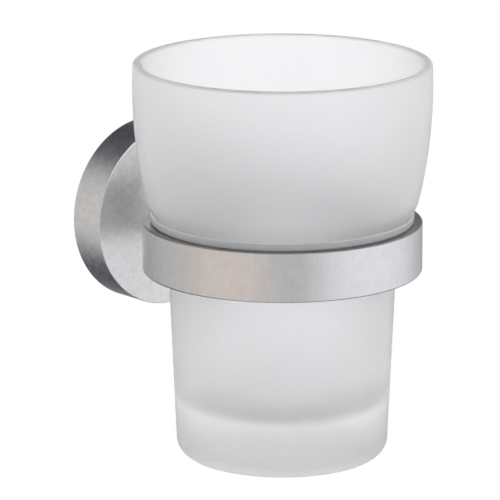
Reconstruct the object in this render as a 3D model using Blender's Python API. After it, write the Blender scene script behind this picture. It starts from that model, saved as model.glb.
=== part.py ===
"""Wall-hung tumbler holder: a round plate on a wall bracket, a short post, and a ring that holds a
frosted tumbler in a plastic liner.

Metres, +Z up. The wall is the plane Y = 0, the holder stands out towards -Y, and the origin is the
centre of the plate on the wall.
"""

import math

import bmesh
import bpy

# Clearances and overruns that several pieces share
GAP = 0.0003  # between pieces that touch
OVERRUN = 0.001  # how far a cut runs past what it cuts
MERGE = 0.000001  # points nearer than this are one point

# Round plate that covers the bracket
PLATE_RADIUS = 0.024
PLATE_DEPTH = 0.011  # wall to front face
PLATE_FACE = 0.0025
PLATE_RIM = 0.003
PLATE_EDGE = 0.0004  # round on the front edge
PLATE_LEAD = 0.0004  # chamfer at the mouth of the bore
POST_SEAT = 0.0008  # recess that takes the post's foot

# Die-cast bracket, screwed to the wall
BRACKET_CLEAR = 0.0015  # behind the plate's face
BRACKET_WEB = 0.0014
BRACKET_RIM = 0.0035
BRACKET_EDGE = 0.0004
GROOVE_BACK = 0.0022  # bracket's front to the middle of the groove
GROOVE_DEPTH = 0.0008
GROOVE_FLOOR = 0.0016
SLOT_SPACING = 0.023
SLOT_WIDTH = 0.0046
SLOT_LENGTH = 0.0084

# Set screw under the plate, its point in the bracket's groove
SET_SCREW_RADIUS = 0.0015
SET_SCREW_POINT = 0.0005
SET_SCREW_SUNK = 0.0003
SET_SOCKET_FLATS = 0.0015
SET_SOCKET_DEPTH = 0.0014

# Post between plate and ring
POST_RADIUS = 0.006
POST_CLEAR = 0.0085  # plate's face to the ring's outer wall
POST_EDGE = 0.0002
PIN_RADIUS = 0.0008
PIN_OFFSET = 0.0041  # above the post's axis
PIN_IN_POST = 0.003
PIN_EDGE = 0.0002

# Ring
RING_RADIUS = 0.0355
RING_WALL = 0.0026
RING_HEIGHT = 0.0125
RING_UPPER_EDGE = 0.00035
RING_LOWER_EDGE = 0.0005
RING_INNER_EDGE = 0.0003

# Long screw from inside the ring, with its lock washer and nut behind the plate's face
SCREW_RADIUS = 0.002
SCREW_HEAD_RADIUS = 0.0036
SCREW_HEAD_LAND = 0.0002
SCREW_SUNK = 0.0004  # head below the ring's bore
SCREW_SOCKET_FLATS = 0.0025
SCREW_SOCKET_DEPTH = 0.0013
SCREW_TIP = 0.0003
SCREW_PAST_NUT = 0.0006
WASHER_RADIUS = 0.0038
WASHER_THICKNESS = 0.0009
WASHER_SPLIT = 0.0008
WASHER_RISE = 0.0001
NUT_FLATS = 0.007
NUT_HEIGHT = 0.0022
NUT_CHAMFER = 0.0005

# Plastic liner in the ring
LINER_PROUD = 0.002  # above the ring
LINER_OVERHANG = 0.0005  # past the ring's bore
LINER_LAND = 0.0004  # flat top edge beside the tumbler
LINER_WALL = 0.0012
LINER_SHORT = 0.0005  # above the ring's lower edge
LINER_LEAD = 0.0004
RIB_WIDTH = 0.0012
RIB_HEIGHT = 0.008
RIB_ROOT = 0.0006  # how far a rib runs into the sleeve
RIB_COUNT = 6

# Frosted tumbler, heights from its foot
TUMBLER_HEIGHT = 0.1018
SEAT_HEIGHT = 0.063  # foot to the liner's top
BODY_HEIGHT = 0.0468
BODY_SLACK = 0.0026  # between liner and body
BODY_TAPER = 0.002
FOOT_ROUND = 0.0045
PUNT_RADIUS = 0.019
PUNT_HEIGHT = 0.0008
SHOULDER_OUT = 0.0019
SHOULDER_RISE = 0.004
BOWL_SWELL = 0.0051  # widest radius past the seat
BOWL_BELOW_RIM = 0.006
RIM_IN = 0.00012
TUMBLER_WALL = 0.0023
TUMBLER_FLOOR = 0.013
INNER_ROUND = 0.01
SEAT_LEAN_SHARE = 0.62  # outward lean of the outline, across over up
SHOULDER_LEAN_SHARE = 0.23
RIM_LEAN_SHARE = -0.03
HANDLE_SHARE = 0.33  # length of a curve's handles over its chord

# Facets round each turned piece
LARGE_TURN = 64
PLATE_TURN = 60
SMALL_TURN = 24
PIN_TURN = 12
SMOOTH_ANGLE = math.radians(35)

# Sizes that several pieces take from the ones above
bore_radius = RING_RADIUS - RING_WALL
ring_top = RING_HEIGHT / 2
ring_foot = -ring_top
ring_back = PLATE_DEPTH + POST_CLEAR  # wall to the ring's outer wall
ring_reach = ring_back + RING_RADIUS  # wall to the ring's axis
ring_inside = ring_back + RING_WALL
plate_bore = PLATE_RADIUS - PLATE_RIM
plate_inside = PLATE_DEPTH - PLATE_FACE
bracket_radius = plate_bore - GAP
bracket_depth = plate_inside - BRACKET_CLEAR
groove_out = bracket_depth - GROOVE_BACK
groove_radius = bracket_radius - GROOVE_DEPTH
post_foot = PLATE_DEPTH - POST_SEAT + GAP
washer_front = plate_inside - GAP
nut_front = washer_front - WASHER_THICKNESS - WASHER_RISE - GAP
nut_back = nut_front - NUT_HEIGHT
head_top = ring_inside - SCREW_SUNK
head_cone = SCREW_HEAD_RADIUS - SCREW_RADIUS  # a 90 degree cone is as long as it is wide
shank_hole = SCREW_RADIUS + GAP
cone_gap = GAP * math.sqrt(2)  # radial gap that leaves GAP across a 90 degree cone
sleeve_radius = bore_radius - GAP
sleeve_inside = sleeve_radius - LINER_WALL
lip_radius = bore_radius + LINER_OVERHANG
liner_top = ring_top + LINER_PROUD
seat_radius = lip_radius - LINER_LAND - GAP
body_radius = sleeve_inside - BODY_SLACK
foot_radius = body_radius - BODY_TAPER
bowl_radius = seat_radius + BOWL_SWELL
tumbler_foot = liner_top - SEAT_HEIGHT


def clear_scene():
    for old in list(bpy.data.objects):
        bpy.data.objects.remove(old, do_unlink=True)


def finish(name, colour, roughness, metallic=0.0, transmission=0.0):
    """A plain material with the piece's colour and gloss."""
    material = bpy.data.materials.new(name)
    material.use_nodes = True
    shader = material.node_tree.nodes["Principled BSDF"]
    shader.inputs["Base Color"].default_value = (*colour, 1.0)
    shader.inputs["Roughness"].default_value = roughness
    shader.inputs["Metallic"].default_value = metallic
    shader.inputs["Transmission Weight"].default_value = transmission
    material.diffuse_color = (*colour, 1.0)
    return material


def axis_empty(name, location, rotation=(0, 0, 0)):
    empty = bpy.data.objects.new(name, None)
    empty.empty_display_type = "ARROWS"
    empty.empty_display_size = PLATE_DEPTH
    empty.location = location
    empty.rotation_euler = rotation
    bpy.context.collection.objects.link(empty)
    return empty


def place(name, shape, parent, material=None):
    """Turns a bmesh into an object under its axis, with its faces pointing out."""
    bmesh.ops.recalc_face_normals(shape, faces=shape.faces)
    mesh = bpy.data.meshes.new(name)
    shape.to_mesh(mesh)
    shape.free()
    mesh.shade_smooth()
    mesh.set_sharp_from_angle(angle=SMOOTH_ANGLE)
    piece = bpy.data.objects.new(name, mesh)
    bpy.context.collection.objects.link(piece)
    piece.parent = parent
    if material:
        mesh.materials.append(material)
    return piece


def turned(outline, facets):
    """Turns (radius, height) points once round Z. An outline whose ends lie on the axis stays open."""
    shape = bmesh.new()
    points = [shape.verts.new((radius, 0, height)) for radius, height in outline]
    edges = [shape.edges.new(pair) for pair in zip(points, points[1:])]
    if outline[0][0] or outline[-1][0]:
        edges.append(shape.edges.new((points[-1], points[0])))
    bmesh.ops.spin(
        shape, geom=points + edges, cent=(0, 0, 0), axis=(0, 0, 1), dvec=(0, 0, 0),
        angle=math.tau, steps=facets, use_merge=True,
    )
    bmesh.ops.remove_doubles(shape, verts=shape.verts, dist=MERGE)
    return shape


def rod(radius, start, end, chamfer=0):
    """Outline of a round bar from start to end, with chamfered ends."""
    if not chamfer:
        return [(0, start), (radius, start), (radius, end), (0, end)]
    return [
        (0, start), (radius - chamfer, start), (radius, start + chamfer),
        (radius, end - chamfer), (radius - chamfer, end), (0, end),
    ]


def prism(across_flats, start, end):
    """A hexagon across its flats, extruded from start to end, with two flats facing X."""
    shape = bmesh.new()
    reach = across_flats / 2 / math.cos(math.pi / 6)
    corners = []
    for step in range(6):
        angle = math.pi / 6 + step * math.pi / 3
        corners.append(shape.verts.new((reach * math.cos(angle), reach * math.sin(angle), start)))
    extrude(shape, shape.faces.new(corners), end - start)
    return shape


def extrude(shape, face, length):
    moved = bmesh.ops.extrude_face_region(shape, geom=[face])["geom"]
    top = [part for part in moved if isinstance(part, bmesh.types.BMVert)]
    bmesh.ops.translate(shape, verts=top, vec=(0, 0, length))


def arc(centre, radius, start, end, count):
    """Points on an arc in the (radius, height) plane, angles from the outward direction."""
    points = []
    for step in range(count + 1):
        angle = start + (end - start) * step / count
        points.append((centre[0] + radius * math.cos(angle), centre[1] + radius * math.sin(angle)))
    return points


def sweep(start, start_lean, end, end_lean, count):
    """Cubic curve between two points that leaves and arrives at the given leans, without its start."""
    chord = math.dist(start, end) * HANDLE_SHARE
    first = chord / math.hypot(1, start_lean)
    last = chord / math.hypot(1, end_lean)
    handles = [
        start,
        (start[0] + first * start_lean, start[1] + first),
        (end[0] - last * end_lean, end[1] - last),
        end,
    ]
    points = []
    for step in range(1, count + 1):
        t = step / count
        weights = [(1 - t) ** 3, 3 * t * (1 - t) ** 2, 3 * t * t * (1 - t), t ** 3]
        points.append(tuple(sum(w * p[i] for w, p in zip(weights, handles)) for i in range(2)))
    return points


def change(target, tool, operation="DIFFERENCE"):
    """Cuts or joins a shape with a tool, which stays in the scene as a wire guide."""
    step = target.modifiers.new(tool.name, "BOOLEAN")
    step.operation = operation
    step.solver = "EXACT"
    step.object = tool
    tool.hide_render = True
    tool.display_type = "WIRE"


def build_wall_bracket(wall_axis):
    """A dish whose rim has a groove for the set screw, and a slot each side for the wall screws."""
    inner = bracket_radius - BRACKET_RIM
    floor = GROOVE_FLOOR / 2
    mouth = floor + GROOVE_DEPTH
    outline = [
        (0, 0),
        (bracket_radius - BRACKET_EDGE, 0),
        (bracket_radius, BRACKET_EDGE),
        (bracket_radius, groove_out - mouth),
        (groove_radius, groove_out - floor),
        (groove_radius, groove_out + floor),
        (bracket_radius, groove_out + mouth),
        (bracket_radius, bracket_depth - BRACKET_EDGE / 2),
        (bracket_radius - BRACKET_EDGE / 2, bracket_depth),
        (inner + BRACKET_EDGE, bracket_depth),
        (inner, bracket_depth - BRACKET_EDGE),
        (inner, BRACKET_WEB + BRACKET_EDGE),
        (inner - BRACKET_EDGE, BRACKET_WEB),
        (0, BRACKET_WEB),
    ]
    zinc = finish("zinc", (0.46, 0.47, 0.48), 0.5, metallic=1.0)
    bracket = place("wall_bracket", turned(outline, PLATE_TURN), wall_axis, zinc)
    for side, word in ((-1, "left"), (1, "right")):
        shape = slot_shape(SLOT_LENGTH, SLOT_WIDTH, BRACKET_WEB + 2 * OVERRUN)
        slot = place(f"slot_{word}", shape, wall_axis)
        slot.location = (side * SLOT_SPACING / 2, 0, -OVERRUN)
        change(bracket, slot)


def slot_shape(length, width, depth):
    """A slot with round ends, its length upright on the wall."""
    shape = bmesh.new()
    reach = (length - width) / 2
    upper = arc((0, reach), width / 2, 0, math.pi, PIN_TURN)
    lower = arc((0, -reach), width / 2, math.pi, math.tau, PIN_TURN)
    corners = [shape.verts.new((across, up, 0)) for across, up in upper + lower]
    extrude(shape, shape.faces.new(corners), depth)
    return shape


def build_cover_plate(wall_axis, screw_axis, pin_hole, chrome):
    """A turned cup over the bracket, with a recess for the post's foot and a hole for each fixing."""
    recess = PLATE_DEPTH - POST_SEAT
    edge = arc((PLATE_RADIUS - PLATE_EDGE, PLATE_DEPTH - PLATE_EDGE), PLATE_EDGE, 0, math.pi / 2, 4)
    outline = [
        (plate_bore + PLATE_LEAD, GAP),
        (PLATE_RADIUS - PLATE_LEAD / 2, GAP),
        (PLATE_RADIUS, GAP + PLATE_LEAD / 2),
        *edge,
        (POST_RADIUS + GAP, PLATE_DEPTH),
        (POST_RADIUS + GAP, recess),
        (shank_hole, recess),
        (shank_hole, plate_inside),
        (plate_bore - PLATE_LEAD, plate_inside),
        (plate_bore, plate_inside - PLATE_LEAD),
        (plate_bore, GAP + PLATE_LEAD),
    ]
    plate = place("cover_plate", turned(outline, PLATE_TURN), wall_axis, chrome)
    hole = rod(SET_SCREW_RADIUS + GAP, plate_bore - OVERRUN, PLATE_RADIUS + OVERRUN)
    change(plate, place("set_screw_hole", turned(hole, SMALL_TURN), screw_axis))
    change(plate, pin_hole)


def build_set_screw(screw_axis, steel):
    """A cone-point screw with a hexagon socket, sunk in the plate's rim."""
    tip = groove_radius + GAP
    end = PLATE_RADIUS - SET_SCREW_SUNK
    outline = [
        (0, tip),
        (SET_SCREW_POINT, tip),
        (SET_SCREW_RADIUS, tip + SET_SCREW_RADIUS - SET_SCREW_POINT),
        (SET_SCREW_RADIUS, end - SCREW_TIP),
        (SET_SCREW_RADIUS - SCREW_TIP, end),
        (0, end),
    ]
    screw = place("set_screw", turned(outline, SMALL_TURN), screw_axis, steel)
    socket = prism(SET_SOCKET_FLATS, end - SET_SOCKET_DEPTH, end + OVERRUN)
    change(screw, place("set_screw_socket", socket, screw_axis))


def build_post(wall_axis, ring_axis, pin_hole, chrome):
    """A bored bar whose far end is cut to the ring's curve."""
    outline = [
        (shank_hole, post_foot),
        (POST_RADIUS - POST_EDGE, post_foot),
        (POST_RADIUS, post_foot + POST_EDGE),
        (POST_RADIUS, ring_inside),
        (shank_hole, ring_inside),
    ]
    post = place("post", turned(outline, 2 * SMALL_TURN), wall_axis, chrome)
    saddle = rod(RING_RADIUS + GAP, -POST_RADIUS - OVERRUN, POST_RADIUS + OVERRUN)
    change(post, place("saddle_cut", turned(saddle, 2 * LARGE_TURN), ring_axis))
    change(post, pin_hole)


def build_locating_pin(wall_axis, steel):
    """A small pin through the plate's face that keeps the post from turning."""
    outline = rod(PIN_RADIUS, plate_inside + GAP, post_foot + PIN_IN_POST, PIN_EDGE)
    pin = place("locating_pin", turned(outline, PIN_TURN), wall_axis, steel)
    pin.location = (0, PIN_OFFSET, 0)


def build_pin_hole(wall_axis):
    outline = rod(PIN_RADIUS + GAP, plate_inside - OVERRUN, post_foot + PIN_IN_POST + GAP)
    hole = place("pin_hole", turned(outline, PIN_TURN), wall_axis)
    hole.location = (0, PIN_OFFSET, 0)
    return hole


def build_ring(ring_axis, wall_axis, chrome):
    """A turned band, countersunk from inside for the long screw."""
    outline = [
        (RING_RADIUS - RING_LOWER_EDGE, ring_foot),
        (RING_RADIUS, ring_foot + RING_LOWER_EDGE),
        (RING_RADIUS, ring_top - RING_UPPER_EDGE),
        (RING_RADIUS - RING_UPPER_EDGE, ring_top),
        (bore_radius + RING_INNER_EDGE, ring_top),
        (bore_radius, ring_top - RING_INNER_EDGE),
        (bore_radius, ring_foot + RING_INNER_EDGE),
        (bore_radius + RING_INNER_EDGE, ring_foot),
    ]
    ring = place("ring", turned(outline, LARGE_TURN), ring_axis, chrome)
    cone_wide = SCREW_HEAD_RADIUS + cone_gap
    cone_end = head_top - SCREW_HEAD_LAND
    hole = [
        (0, ring_back - OVERRUN),
        (shank_hole, ring_back - OVERRUN),
        (shank_hole, cone_end - (cone_wide - shank_hole)),
        (cone_wide, cone_end),
        (cone_wide, ring_inside + OVERRUN),
        (0, ring_inside + OVERRUN),
    ]
    change(ring, place("countersink", turned(hole, SMALL_TURN), wall_axis))


def build_ring_screw(wall_axis, steel):
    """A countersunk socket screw through ring, post and plate."""
    tip = nut_back - SCREW_PAST_NUT
    outline = [
        (0, tip),
        (SCREW_RADIUS - SCREW_TIP, tip),
        (SCREW_RADIUS, tip + SCREW_TIP),
        (SCREW_RADIUS, head_top - SCREW_HEAD_LAND - head_cone),
        (SCREW_HEAD_RADIUS, head_top - SCREW_HEAD_LAND),
        (SCREW_HEAD_RADIUS, head_top),
        (0, head_top),
    ]
    screw = place("ring_screw", turned(outline, SMALL_TURN), wall_axis, steel)
    socket = prism(SCREW_SOCKET_FLATS, head_top - SCREW_SOCKET_DEPTH, head_top + OVERRUN)
    change(screw, place("ring_screw_socket", socket, wall_axis))


def build_lock_washer(wall_axis, steel):
    """A split ring of square wire whose two ends stand a little apart, split at its lowest point."""
    shape = bmesh.new()
    back = washer_front - WASHER_THICKNESS - WASHER_RISE
    section = [
        (shank_hole, back),
        (WASHER_RADIUS, back),
        (WASHER_RADIUS, back + WASHER_THICKNESS),
        (shank_hole, back + WASHER_THICKNESS),
    ]
    half_split = math.asin(WASHER_SPLIT / 2 / WASHER_RADIUS)
    start = -math.pi / 2 + half_split
    corners = []
    for radius, height in section:
        corners.append(shape.verts.new((radius * math.cos(start), radius * math.sin(start), height)))
    face = shape.faces.new(corners)
    bmesh.ops.spin(
        shape, geom=[face], cent=(0, 0, 0), axis=(0, 0, 1), dvec=(0, 0, WASHER_RISE / SMALL_TURN),
        angle=math.tau - 2 * half_split, steps=SMALL_TURN,
    )
    place("lock_washer", shape, wall_axis, steel)


def build_hex_nut(wall_axis, steel):
    """A hexagon nut with its corners turned down at both faces."""
    nut = place("hex_nut", prism(NUT_FLATS, nut_back, nut_front), wall_axis, steel)
    corner = NUT_FLATS / 2 / math.cos(math.pi / 6)
    collar = [
        (shank_hole, nut_back - OVERRUN),
        (NUT_FLATS / 2 - OVERRUN, nut_back - OVERRUN),
        (corner, nut_back + NUT_CHAMFER),
        (corner, nut_front - NUT_CHAMFER),
        (NUT_FLATS / 2 - OVERRUN, nut_front + OVERRUN),
        (shank_hole, nut_front + OVERRUN),
    ]
    change(nut, place("nut_collar", turned(collar, SMALL_TURN), wall_axis), "INTERSECT")


def tumbler_outside():
    """The tumbler's outer outline from its foot up, heights from the foot."""
    lean = BODY_TAPER / BODY_HEIGHT
    body = (body_radius, BODY_HEIGHT)
    seat = (seat_radius, SEAT_HEIGHT)
    shoulder = (seat_radius + SHOULDER_OUT, SEAT_HEIGHT + SHOULDER_RISE)
    rim_height = TUMBLER_HEIGHT - TUMBLER_WALL / 2
    bowl = (bowl_radius, rim_height - BOWL_BELOW_RIM)
    rim = (bowl_radius - RIM_IN, rim_height)
    tilt = math.atan(lean)
    foot_centre = (foot_radius + FOOT_ROUND * lean - FOOT_ROUND, FOOT_ROUND)
    return [
        *arc(foot_centre, FOOT_ROUND, -math.pi / 2, -tilt, 4),
        body,
        *sweep(body, lean, seat, SEAT_LEAN_SHARE, 6),
        *sweep(seat, SEAT_LEAN_SHARE, shoulder, SHOULDER_LEAN_SHARE, 3),
        *sweep(shoulder, SHOULDER_LEAN_SHARE, bowl, 0, 6),
        *sweep(bowl, 0, rim, RIM_LEAN_SHARE, 1),
    ]


def inner_wall(outside):
    """The inside of the wall, from the rim down to the floor's round: the outer outline moved in."""
    inside = []
    for before, point, after in zip(outside, outside[1:], outside[2:] + [outside[-1]]):
        across = after[0] - before[0]
        up = after[1] - before[1]
        length = math.hypot(across, up)
        moved = (point[0] - TUMBLER_WALL * up / length, point[1] + TUMBLER_WALL * across / length)
        if moved[1] > BODY_HEIGHT - TUMBLER_WALL:
            inside.append(moved)
    return inside[::-1]


def build_tumbler(tumbler_axis):
    """The frosted tumbler, with a rounded rim, a thick floor and a shallow hollow under its foot."""
    outside = tumbler_outside()
    rim = outside[-1]
    lip = arc((rim[0] - TUMBLER_WALL / 2, rim[1]), TUMBLER_WALL / 2, 0, math.pi, 6)
    inside = inner_wall(outside)[1:]
    lean = BODY_TAPER / BODY_HEIGHT
    low = TUMBLER_FLOOR + INNER_ROUND
    low_radius = inside[-1][0] - (inside[-1][1] - low) * lean
    floor = arc((low_radius - INNER_ROUND, low), INNER_ROUND, 0, -math.pi / 2, 6)
    outline = [
        (0, PUNT_HEIGHT),
        (PUNT_RADIUS - 2 * PUNT_HEIGHT, PUNT_HEIGHT),
        (PUNT_RADIUS, 0),
        *outside[:-1],
        *lip,
        *inside,
        *floor,
        (0, TUMBLER_FLOOR),
    ]
    glass = finish("frosted_glass", (0.9, 0.92, 0.93), 0.45, transmission=0.6)
    place("tumbler", turned(outline, LARGE_TURN), tumbler_axis, glass)


def build_ring_liner(ring_axis, tumbler_axis):
    """A sleeve with a lip over the ring and ribs inside, cut to the tumbler's shape."""
    sleeve_foot = ring_foot + LINER_SHORT
    lip_foot = ring_top + GAP
    outline = [
        (sleeve_inside, sleeve_foot),
        (sleeve_radius - LINER_LEAD, sleeve_foot),
        (sleeve_radius, sleeve_foot + LINER_LEAD),
        (sleeve_radius, lip_foot),
        (lip_radius, lip_foot),
        (lip_radius, liner_top),
        (sleeve_inside, liner_top),
    ]
    plastic = finish("liner_plastic", (0.78, 0.79, 0.8), 0.4, transmission=0.2)
    liner = place("ring_liner", turned(outline, LARGE_TURN), ring_axis, plastic)
    for number in range(RIB_COUNT):
        shape = bmesh.new()
        bmesh.ops.create_cube(shape, size=1)
        length = sleeve_inside + RIB_ROOT - foot_radius
        bmesh.ops.scale(shape, verts=shape.verts, vec=(length, RIB_WIDTH, RIB_HEIGHT))
        move = (foot_radius + length / 2, 0, sleeve_foot + RIB_HEIGHT / 2)
        bmesh.ops.translate(shape, verts=shape.verts, vec=move)
        rib = place(f"liner_rib_{number + 1}", shape, ring_axis)
        rib.rotation_euler = (0, 0, number * math.tau / RIB_COUNT)
        change(liner, rib, "UNION")
    envelope = [(radius + GAP, height) for radius, height in tumbler_outside()]
    envelope = [(0, envelope[0][1]), *envelope, (0, envelope[-1][1])]
    change(liner, place("tumbler_envelope", turned(envelope, LARGE_TURN), tumbler_axis))


def main():
    clear_scene()
    wall_axis = axis_empty("wall_axis", (0, 0, 0), (math.pi / 2, 0, 0))  # its Z runs out from the wall
    screw_axis = axis_empty("set_screw_axis", (0, -groove_out, 0), (math.pi, 0, 0))  # its Z runs down
    ring_axis = axis_empty("ring_axis", (0, -ring_reach, 0))
    tumbler_axis = axis_empty("tumbler_axis", (0, -ring_reach, tumbler_foot))
    chrome = finish("satin_chrome", (0.78, 0.78, 0.785), 0.34, metallic=1.0)
    steel = finish("steel", (0.5, 0.5, 0.52), 0.3, metallic=1.0)
    pin_hole = build_pin_hole(wall_axis)
    build_wall_bracket(wall_axis)
    build_cover_plate(wall_axis, screw_axis, pin_hole, chrome)
    build_set_screw(screw_axis, steel)
    build_post(wall_axis, ring_axis, pin_hole, chrome)
    build_locating_pin(wall_axis, steel)
    build_ring(ring_axis, wall_axis, chrome)
    build_ring_screw(wall_axis, steel)
    build_lock_washer(wall_axis, steel)
    build_hex_nut(wall_axis, steel)
    build_ring_liner(ring_axis, tumbler_axis)
    build_tumbler(tumbler_axis)


main()
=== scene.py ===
import math

import bpy
import numpy as np
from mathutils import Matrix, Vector


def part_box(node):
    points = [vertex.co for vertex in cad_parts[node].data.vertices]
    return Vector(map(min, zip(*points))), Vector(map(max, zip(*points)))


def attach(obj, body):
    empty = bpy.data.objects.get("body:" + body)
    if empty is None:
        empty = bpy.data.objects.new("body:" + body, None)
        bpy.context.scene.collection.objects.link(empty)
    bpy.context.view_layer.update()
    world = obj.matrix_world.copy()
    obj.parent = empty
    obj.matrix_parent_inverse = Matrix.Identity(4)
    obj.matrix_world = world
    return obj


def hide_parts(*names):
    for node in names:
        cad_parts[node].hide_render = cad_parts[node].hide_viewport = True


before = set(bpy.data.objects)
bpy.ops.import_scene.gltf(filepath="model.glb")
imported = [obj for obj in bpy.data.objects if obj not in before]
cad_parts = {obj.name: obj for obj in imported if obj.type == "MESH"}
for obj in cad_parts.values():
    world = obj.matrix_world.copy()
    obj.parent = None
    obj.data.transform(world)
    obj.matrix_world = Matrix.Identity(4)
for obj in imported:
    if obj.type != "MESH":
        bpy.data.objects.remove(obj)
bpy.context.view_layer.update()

# A wall-hung tumbler holder: satin round plate and ring, translucent liner, frosted tumbler.
# Metres. The wall is y = 0, the holder stands out towards -y, and z is up.

mm = 0.001
gap = 0.3 * mm  # between pieces that touch
overrun = 1 * mm  # how far a cut runs past what it cuts
samePoint = 0.0001 * mm  # points nearer to each other than this are one
holeFacets = 48  # round the holes for the pin and the set screw


def heading(azimuth, elevation):
    # Unit vector away from the object: azimuth 0 is straight out from the wall, and 90 is to the right.
    turn, lift = math.radians(azimuth), math.radians(elevation)
    return Vector((math.sin(turn) * math.cos(lift), -math.cos(turn) * math.cos(lift), math.sin(lift)))


# Shapes worked out as arrays

def arcPoints(centre, radius, start, end, count):
    # (radius, height) = centre + radius * (cos, sin) of an angle that runs evenly from start to end degrees.
    angle = np.radians(np.linspace(start, end, count))
    return np.column_stack([centre[0] + radius * np.cos(angle), centre[1] + radius * np.sin(angle)])


def cubicPoints(start, startLean, end, endLean, handleShare, count):
    # Cubic curve between two points. Its two handles point along the leans, across over up, and are
    # handleShare of the distance between the ends.
    reach = handleShare * math.dist(start, end)
    first = reach / math.hypot(1, startLean)
    last = reach / math.hypot(1, endLean)
    p0, p3 = np.array(start), np.array(end)
    p1 = p0 + first * np.array([startLean, 1])
    p2 = p3 - last * np.array([endLean, 1])
    t = np.linspace(0, 1, count)[:, None]
    return (1 - t) ** 3 * p0 + 3 * t * (1 - t) ** 2 * p1 + 3 * t ** 2 * (1 - t) * p2 + t ** 3 * p3


def linePoints(start, end, count):
    # Points at even steps along a straight line.
    return np.linspace(start, end, count)


def joined(*stretches):
    # One outline from several stretches, without the points that two of them share.
    points = np.vstack([np.atleast_2d(stretch) for stretch in stretches])
    apart = np.r_[True, np.linalg.norm(np.diff(points, axis=0), axis=1) > samePoint]
    return points[apart]


def rounded(corners, radii, steps=7, past=1.2):
    # Each corner gives way to an arc that touches both its sides, radius / tan(half the angle) from the
    # corner. A point on each side, past times as far from it, keeps the shading of flat stretches flat.
    corners = np.array(corners, float)
    pieces = []
    for i, radius in enumerate(radii):
        here, before, after = corners[i], corners[i - 1], corners[(i + 1) % len(corners)]
        if not radius:
            pieces.append(here)
            continue
        a = (before - here) / np.linalg.norm(before - here)
        b = (after - here) / np.linalg.norm(after - here)
        half = math.acos(np.clip(a @ b, -1, 1)) / 2
        centre = here + (a + b) / np.linalg.norm(a + b) * radius / math.sin(half)
        reach = radius / math.tan(half)
        start, end = here + a * reach - centre, here + b * reach - centre
        first = math.atan2(start[1], start[0])
        sweep = (math.atan2(end[1], end[0]) - first + math.pi) % math.tau - math.pi
        angle = first + sweep * np.linspace(0, 1, steps)
        pieces.append(here + a * reach * past)
        pieces.append(centre + radius * np.column_stack([np.cos(angle), np.sin(angle)]))
        pieces.append(here + b * reach * past)
    return np.vstack([np.atleast_2d(piece) for piece in pieces])


def smoothStep(share):
    # 3 s^2 - 2 s^3 of a share held between 0 and 1.
    share = np.clip(share, 0, 1)
    return share * share * (3 - 2 * share)


def evenTurn(facets):
    # Angles at even steps round a full turn, the first of them 0.
    return np.linspace(0, math.tau, facets, endpoint=False)


def turnedSurface(radius, height, turn, poles=None):
    # x = radius * cos(turn), y = radius * sin(turn), z = height. Radius and height hold one value for each
    # row, or one for each row and turn. Without poles the last row joins the first, and with them each end
    # row closes on a point of the axis at the given height.
    radius, height = (np.asarray(v)[:, None] if np.ndim(v) == 1 else v for v in (radius, height))
    rows, columns = len(radius), len(turn)
    grid = np.empty((rows, columns, 3))
    grid[..., 0] = radius * np.cos(turn)
    grid[..., 1] = radius * np.sin(turn)
    grid[..., 2] = height
    points = grid.reshape(-1, 3)
    row = np.arange(rows if poles is None else rows - 1)[:, None]
    column = np.arange(columns)
    nextRow, nextColumn = (row + 1) % rows, (column + 1) % columns
    quads = np.stack([row * columns + column, row * columns + nextColumn,
                      nextRow * columns + nextColumn, nextRow * columns + column], axis=-1).reshape(-1, 4)
    if poles is None:
        return points, [quads]
    points = np.vstack([points, [[0, 0, poles[0]], [0, 0, poles[1]]]])
    top = (rows - 1) * columns
    first = np.stack([np.full(columns, rows * columns), nextColumn, column], axis=-1)
    last = np.stack([np.full(columns, rows * columns + 1), top + column, top + nextColumn], axis=-1)
    return points, [quads, first, last]


def turnedMesh(name, outline, facets, place, onWall=False):
    # An outline of (radius, height) points turned round an upright axis, or round one that stands out from
    # the wall. Where its two ends lie on the axis they become the poles.
    endsOnAxis = outline[0][0] == 0 and outline[-1][0] == 0
    body = outline[1:-1] if endsOnAxis else outline
    poles = (outline[0][1], outline[-1][1]) if endsOnAxis else None
    points, faces = turnedSurface(body[:, 0], body[:, 1], evenTurn(facets), poles)
    return makeMesh(name, (wallWards(points) if onWall else points) + place, faces)


def prismMesh(name, loop, start, end):
    # A closed loop of (right, up) points, carried from one height above the wall to another.
    points = np.vstack([np.column_stack([loop, np.full(len(loop), level)]) for level in (start, end)])
    corner = np.arange(len(loop))
    after = (corner + 1) % len(loop)
    sides = np.stack([corner, after, after + len(loop), corner + len(loop)], axis=-1)
    return makeMesh(name, wallWards(points), [sides, corner[None, ::-1], corner[None, :] + len(loop)])


def wallWards(points):
    # From an upright axis to the wall's: the height becomes the distance out from the wall.
    return np.column_stack([points[:, 0], -points[:, 2], points[:, 1]])


def makeMesh(name, points, faceGroups, closed=True):
    # A mesh from an array of points and arrays of faces, each array with its own number of corners.
    mesh = bpy.data.meshes.new(name)
    corners = np.concatenate([faces.ravel() for faces in faceGroups]).astype(np.int32)
    sizes = np.concatenate([np.full(len(faces), faces.shape[1]) for faces in faceGroups])
    starts = np.concatenate([[0], np.cumsum(sizes)[:-1]]).astype(np.int32)
    mesh.vertices.add(len(points))
    mesh.vertices.foreach_set("co", points.astype(np.float32).ravel())
    mesh.loops.add(len(corners))
    mesh.loops.foreach_set("vertex_index", corners)
    mesh.polygons.add(len(sizes))
    mesh.polygons.foreach_set("loop_start", starts)
    mesh.update(calc_edges=True)
    mesh.validate()
    return facingOut(mesh) if closed else mesh


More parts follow.
